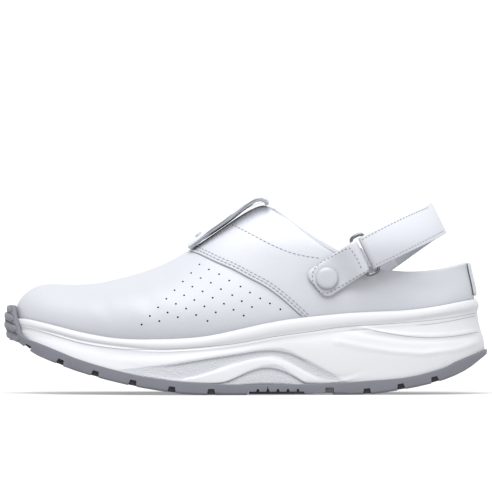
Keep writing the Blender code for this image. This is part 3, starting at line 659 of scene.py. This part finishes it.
# fine shadow lines under the rim's bead and along the heel
soleShade = {"half": 0.0002, "tall": 0.00012, "lift": -0.00002, "pitch": 0.0018}
soleShadeLines = (
    (
        (18.3, 326.7), (33, 329), (50, 334), (66.7, 339), (83, 343.7), (108, 347.5), (133, 349.5),
        (167, 349), (200, 347), (225, 344.7), (240, 342.6), (260, 339), (280, 335.6), (300, 333),
        (320, 330), (340, 327), (360, 325.4), (390, 323.6), (416, 321.6), (440, 319), (460, 316),
        (478, 312.4),
    ),
    ((413, 325.4), (430, 324), (450, 321), (476, 315.6)),
    ((365, 328.2), (380, 331.6), (400, 335.2), (420, 337.2), (440, 337.2), (460, 335.2), (480, 331.6)),
)


# where points of the sole show in the photo, the inner side mirrored
def photoPlace(points):
    grow = photo["distance"] / (photo["distance"] - np.abs(points[:, 1]))
    column = points[:, 0] * grow / photo["pixel"] + photo["middleColumn"]
    row = photo["floorRow"] - (eye.z + (points[:, 2] - eye.z) * grow) / photo["pixel"]
    return np.stack([column, row], axis=1)


def awayFrom(spots, line):
    least = np.full(len(spots), 1e9)
    for a, b in zip(line, line[1:]):
        run = b - a
        t = np.clip(((spots - a) @ run) / (run @ run), 0, 1)
        least = np.minimum(least, np.linalg.norm(spots - a - t[:, None] * run, axis=1))
    return least


# 1 inside a closed outline of the photo and 0 outside it, soft over its edge
def zoneShare(spots, around, soft):
    inside = np.zeros(len(spots), bool)
    for a, b in zip(around, around[1:]):
        crosses = (a[1] > spots[:, 1]) != (b[1] > spots[:, 1])
        level = a[0] + (spots[:, 1] - a[1]) * (b[0] - a[0]) / (b[1] - a[1] + 1e-9)
        inside ^= crosses & (spots[:, 0] < level)
    away = awayFrom(spots, around) * np.where(inside, 1, -1)
    t = np.clip(away / soft / 2 + 0.5, 0, 1)
    return t * t * (3 - 2 * t)


def shapeMidsole(mesh):
    spots = photoPlace(pointsOf(mesh))
    sideways = np.abs(normalsOf(mesh)[:, 1]) - midsoleShape["sideFrom"]
    onSide = np.clip(sideways / midsoleShape["sideSpan"], 0, 1)
    stipple = np.zeros(len(spots))
    shift = np.zeros(len(spots))
    for zone in (archBand, archHill):
        around = np.array(zone + zone[:1], float)
        stipple = np.maximum(stipple, zoneShare(spots, around, midsoleShape["zoneEdge"]))
        shift += midsoleShape["lipHeight"] * hump(awayFrom(spots, around), midsoleShape["lipWidth"])
    shift -= stipple * midsoleShape["zoneDepth"]
    for line, height, wide in heelLines:
        shift += height * hump(awayFrom(spots, np.array(line, float)), wide)
    pushOut(mesh, shift * onSide)
    marks = mesh.attributes.new("stipple", "FLOAT", "POINT")
    marks.data.foreach_set("value", stipple * onSide)


midsole = fineCopy("midsole", "foamMidsole", levels=midsoleShape["levels"], crease=midsoleShape["crease"])
shapeMidsole(midsole.data)
finished(midsole, "midsole", "midsole_foam", foam)
foamShade = grained("foam shade", ((0.27, 0.275, 0.295), (0.31, 0.315, 0.335)), (0.8, 0.9), 900, 0.3)
shadePaths = pathsOnBoth(treeOf(midsole), soleShadeLines, soleShade["pitch"])
rope("soleShadeLines", shadePaths, soleShade, foamShade)

# the outsole

outsoleShape = {"bevel": 0.0005, "smoothTo": 32}
# dark bars deep in the tread's notches, painted shade standing for their depth: half widths and heights
# over the tread's lowest faces, how far inside the sole they end, and where beside the notch and above it
# the sole's width is looked up
notchShadeBar = {
    "halfLow": 0.0024, "low": 0.0003, "halfHigh": 0.0017, "high": 0.0036,
    "inset": 0.0016, "beside": 0.0052, "looksUp": (-0.001, 0, 0.0015, 0.003), "bevel": 0.0003,
}
# the middles of the notches, as shares of the shoe's length from the toe
notchShares = (0.0456, 0.1154, 0.1886, 0.2666, 0.3469, 0.4287, 0.7490, 0.8195, 0.8900)
# a dark web of painted shade over the comb in the middle of the tread: shares along the shoe and heights
middleShadeWeb = (
    (0.506, 0.0005), (0.618, 0.0005), (0.664, 0.0012), (0.679, 0.0012), (0.679, 0.0046), (0.506, 0.0046),
)
# the toe bumper: the middle of its round, and the half angle and steps of each path round it
bumper = {"middle": (-0.120, 0.006), "reach": 0.06, "degrees": 64, "steps": 72, "fewest": 6}
# height at the very toe, fall towards the back and how far back it goes
bumperRibs = (
    (0.0496, 0.42, -0.1333), (0.0452, 0.45, -0.1325), (0.0402, 0.45, -0.1318), (0.0352, 0.4, -0.1306),
)
bumperGrooveShades = ((0.0474, 0.44, -0.1328), (0.0427, 0.45, -0.132), (0.0377, 0.42, -0.131))
ribSection = {"half": 0.00225, "tall": 0.0009, "lift": 0.0001}
grooveShadeSection = {"half": 0.0005, "tall": 0.0003, "lift": 0.00006}

outsole = fineCopy("outsole", "rubberOutsole", bevel=outsoleShape["bevel"])
bpy.ops.object.shade_smooth_by_angle(angle=math.radians(outsoleShape["smoothTo"]))
finished(outsole, "outsole", "outsole_rubber", rubber)
outsoleTree = treeOf(outsole)


def alongShoe(share):
    return (share - 0.5) * shoeLength


def groundAt(x):
    return outsoleTree.ray_cast(Vector((x, 0, -0.02)), Vector((0, 0, 1)))[0].z


# where a bar ends: a little inside the narrowest width found beside its notch
def sideAt(x, z, side):
    found = []
    for step in (-notchShadeBar["beside"], notchShadeBar["beside"]):
        for rise in notchShadeBar["looksUp"]:
            start = Vector((x + step, side * 0.08, z + rise))
            found.append(outsoleTree.ray_cast(start, Vector((0, -side, 0)))[0])
    return min((place.y for place in found if place), key=abs) - side * notchShadeBar["inset"]


def notchOutline(x):
    beside = notchShadeBar["beside"]
    before, after = groundAt(x - beside), groundAt(x + beside)
    tilt = math.atan2(after - before, 2 * beside)
    base = Vector((x, 0, (before + after) / 2))
    run = Vector((math.cos(tilt), 0, math.sin(tilt)))
    up = Vector((-run.z, 0, run.x))
    corners = []
    for half, rise, ways in (("halfLow", "low", (-1, 1)), ("halfHigh", "high", (1, -1))):
        for way in ways:
            corner = base + run * way * notchShadeBar[half] + up * notchShadeBar[rise]
            corners.append((corner.x, corner.z))
    return corners


# bars from their outlines in x and z, one end at each side of the sole
def barsFrom(outlines):
    points = []
    faces = []
    for corners in outlines:
        first = len(points)
        count = len(corners)
        middleX = sum(x for x, z in corners) / count
        level = sum(z for x, z in corners) / count
        for side in (-1, 1):
            y = sideAt(middleX, level, side)
            points += [(x, y, z) for x, z in corners]
        faces.append(tuple(first + i for i in range(count)))
        faces.append(tuple(first + count + i for i in reversed(range(count))))
        for i in range(count):
            after = (i + 1) % count
            faces.append((first + after, first + i, first + count + i, first + count + after))
    return points, faces


# level paths round the toe bumper, falling towards the back
def roundToe(level, fall, back):
    found = []
    for degrees in np.linspace(-bumper["degrees"], bumper["degrees"], bumper["steps"]):
        turn = math.radians(degrees)
        out = Vector((-math.cos(turn), math.sin(turn), 0))
        z = level
        for again in range(3):
            middle = Vector((*bumper["middle"], z))
            place, normal = outsoleTree.ray_cast(middle + out * bumper["reach"], -out)[:2]
            if place is None:
                break
            z = level - fall * (place.x + shoeLength / 2)
        if place is not None and place.x < back:
            found.append((place, normal))
    path = []
    for (here, normal), (there, _) in zip(found, found[1:]):
        if 0 < (there - here).length < tracing["longest"]:
            flat = Vector((normal.x, normal.y, 0)).normalized()
            path.append((here, flat, (there - here).normalized()))
    return path


def longPaths(paths):
    return [path for path in paths if len(path) > bumper["fewest"]]


outlines = [notchOutline(alongShoe(share)) for share in notchShares]
outlines.append([(alongShoe(share), z) for share, z in middleShadeWeb])
notchShadeBars = meshThing("notchShadeBars", *barsFrom(outlines))
facesOutwards(notchShadeBar["bevel"])
# a near-black rubber colour: painted shade in the notches, the comb and the bumper's grooves
treadShade = grained("tread shade", ((0.045, 0.043, 0.05), (0.06, 0.058, 0.066)), (0.7, 0.9), 800, 0.5)
finished(notchShadeBars, None, None, treadShade)
ribPaths = longPaths(roundToe(*each) for each in bumperRibs)
grooveShadePaths = longPaths(roundToe(*each) for each in bumperGrooveShades)
rope("bumperRibs", ribPaths, ribSection, rubber)
# dark ropes in the bumper's grooves: painted shade
rope("bumperGrooveShades", grooveShadePaths, grooveShadeSection, treadShade)

coverCloth = grained("insole cover", ((0.28, 0.29, 0.32), (0.36, 0.37, 0.4)), (0.8, 0.92), 700, 0.6)
ribbed(coverCloth, 260, "DIAGONAL", 0.5)
dressed("insole", "footbed", "insole_cover", coverCloth, levels=2, crease=0.3)
print("sole:", len(midsole.data.polygons), "faces in the midsole,", len(ribPaths), "ribs")

# heel strap and its hardware

stripShape = {"bevel": 0.0005, "anchorLevels": 2, "ringLevels": 1, "capBevel": 0.0004, "capSegments": 3}
strapStitch = {
    "length": 0.0015, "width": 0.00048, "rise": 0.0004, "lift": 0.00003, "wobble": 0.035,
    "pitch": 0.0021, "anchorPitch": 0.0025,
}
strapLines = (
    ((361.5, 239.6), (380, 229.6), (405, 217.2), (428.5, 207.2)),
    ((375.5, 264.6), (392.5, 256.8), (417.5, 244.3), (443, 231.2)),
)
anchorLines = (
    (
        (347.5, 248.2), (334, 255.2), (322, 261.8), (314.8, 268.5), (312.4, 275.5), (313.8, 284),
        (319, 290.8), (326, 293.2), (334, 290), (346, 283.2), (360, 275), (371.5, 268.4),
    ),
    ((348.2, 246.6), (353, 252.5), (357.5, 260), (362.2, 270.2)),
)
capColours = ((0.35, 0.36, 0.388), (0.37, 0.38, 0.405))
capPlastic = grained("white cap", capColours, (0.3, 0.4), 380, 0.12, Coat_Weight=0.25)
metalColours = ((0.13, 0.13, 0.14), (0.18, 0.18, 0.19))
metal = grained("ring metal", metalColours, (0.18, 0.32), 500, 0.1, Metallic=1.0)
# darker still on the anchors: partly the thread, partly painted shade of the sunken stitch holes
darkThreadAndShade = grained("dark thread and shade", ((0.11, 0.115, 0.135), (0.14, 0.145, 0.165)), (0.6, 0.8), 2400, 0.5)


def stripPaths(tree, outerTree, lines, pitch, inner):
    return [pathOn(tree, line, pitch, inner, outerTree if inner else None) for line in lines]


heelStrap = dressed("heel_strap", "heelStrap", "leather", leather, bevel=stripShape["bevel"])
strapTree = treeOf(heelStrap)
strapPaths = []
for inner in bothSides:
    strapPaths += stripPaths(strapTree, strapTree, strapLines, strapStitch["pitch"], inner)
stitched("strapStitches", strapPaths, strapStitch, threadAndShade)

anchorTrees = []
for side in ("lateral", "medial"):
    levels = stripShape["anchorLevels"]
    anchor = dressed("anchor_" + side, side + "Anchor", "leather", leather, levels=levels)
    anchorTrees.append(treeOf(anchor))
    dressed(
        "snap_" + side, side + "Snap", "cap_plastic", capPlastic,
        bevel=stripShape["capBevel"], segments=stripShape["capSegments"],
    )
    dressed("ring_" + side, side + "Ring", "ring_metal", metal, levels=stripShape["ringLevels"])
anchorPaths = []
for tree, inner in zip(anchorTrees, bothSides):
    anchorPaths += stripPaths(tree, anchorTrees[0], anchorLines, strapStitch["anchorPitch"], inner)
stitched("anchorStitches", anchorPaths, strapStitch, darkThreadAndShade)

# instep tab, its elastic and stud, and the backstay

tabShape = {"bevel": 0.0005, "studBevel": 0.0003, "edgeFrom": 0.62, "lineFrom": 0.55, "fewest": 6}
tabLines = (
    (
        (189.6, 244.9), (208, 232.0), (224, 220.7), (240, 207.9), (254.8, 197.6), (262.3, 197.0),
        (266.6, 201.4),
    ),
    (
        (191.5, 246.4), (208.5, 234.2), (224.4, 224.9), (235, 215.6), (243.5, 207.8), (252, 201.2),
        (260.5, 198.6),
    ),
)
# dark ropes along the tab's top and bottom edges: painted shade where its faces turn
tabShadeLine = {"half": 0.0003, "tall": 0.00022, "lift": 0, "pitch": 0.0012}
tabEdge = grained("tab edge", ((0.29, 0.3, 0.335), (0.36, 0.37, 0.4)), (0.65, 0.85), 900, 0.7)
elastic = grained("dark elastic", ((0.045, 0.045, 0.052), (0.07, 0.07, 0.08)), (0.75, 0.9), 900, 0.5)
ribbed(elastic, 300, "Y", 0.8)

tab = fineCopy("instep_tab", "instepTab", bevel=tabShape["bevel"])
finished(tab, "instep_tab", "leather", leather, tabEdge)
for face in tab.data.polygons:
    face.material_index = int(abs(face.normal.y) > tabShape["edgeFrom"])
tabPaths = []
for path in pathsOnBoth(treeOf(tab), tabLines, tabShadeLine["pitch"]):
    tabPaths.append([spot for spot in path if abs(spot[1].y) > tabShape["lineFrom"]])
tabPaths = [path for path in tabPaths if len(path) > tabShape["fewest"]]
rope("tabEdgeShadeLines", tabPaths, tabShadeLine, paintedShadeLine)
dressed("backstay", "backstayStrip", "leather", leather, levels=1)
dressed("gusset", "elasticGusset", "elastic", elastic, levels=1)
dressed("tab_stud", "tabStud", "cap_plastic", capPlastic, bevel=tabShape["studBevel"])
print("strips and hardware:", [len(path) for path in strapPaths + anchorPaths + tabPaths])

# floor, light and camera

studioLook = {
    "floorRadius": 60, "floorColour": (0.42, 0.42, 0.42), "floorGlow": 0.3,
    "skyColour": (0.985, 0.99, 1, 1), "skyLow": 1.04, "skyHigh": 1.2, "skyFrom": 0.1,
    "lightSlope": (0.1, 0.55, -1), "lightEnergy": 3.0, "lightDegrees": 45, "lens": 504,
}

bpy.ops.mesh.primitive_circle_add(vertices=96, radius=studioLook["floorRadius"], fill_type="NGON")
floor = bpy.context.object
floor.name = "studioFloor"
# the floor glows a little, painted light that lightens the shadows on it
floorPaint = newMaterial(
    "floor paint", studioLook["floorColour"], 0.95,
    Emission_Color=(1, 1, 1, 1), Emission_Strength=studioLook["floorGlow"],
)
floor.data.materials.append(floorPaint)

studio = bpy.data.worlds.new("studio")
studio.use_nodes = True
sky = studio.node_tree.nodes["Background"]
sky.inputs["Color"].default_value = studioLook["skyColour"]
upwards = addNode(studio, "ShaderNodeTexCoord")
parts = addNode(studio, "ShaderNodeSeparateXYZ", [("Vector", upwards.outputs["Generated"])])
gain = addNode(
    studio, "ShaderNodeMapRange", [("Value", parts.outputs["Z"])],
    From_Min=studioLook["skyFrom"], To_Min=studioLook["skyLow"], To_Max=studioLook["skyHigh"],
)
studio.node_tree.links.new(gain.outputs["Result"], sky.inputs["Strength"])
scene.world = studio

bpy.ops.object.light_add(type="SUN", location=(0, 0, 2))
light = bpy.context.object
light.name = "topLight"
light.data.energy = studioLook["lightEnergy"]
light.data.angle = math.radians(studioLook["lightDegrees"])
light.rotation_euler = Vector(studioLook["lightSlope"]).to_track_quat("-Z", "Y").to_euler()
scene.view_settings.view_transform = "Standard"

bpy.ops.object.camera_add(location=eye, rotation=(math.radians(90), 0, 0))
camera = bpy.context.object
camera.name = "photoCamera"
camera.data.sensor_width = 36
camera.data.lens = studioLook["lens"]
camera.data.clip_start = 0.05
scene.camera = camera
print("studio ready")
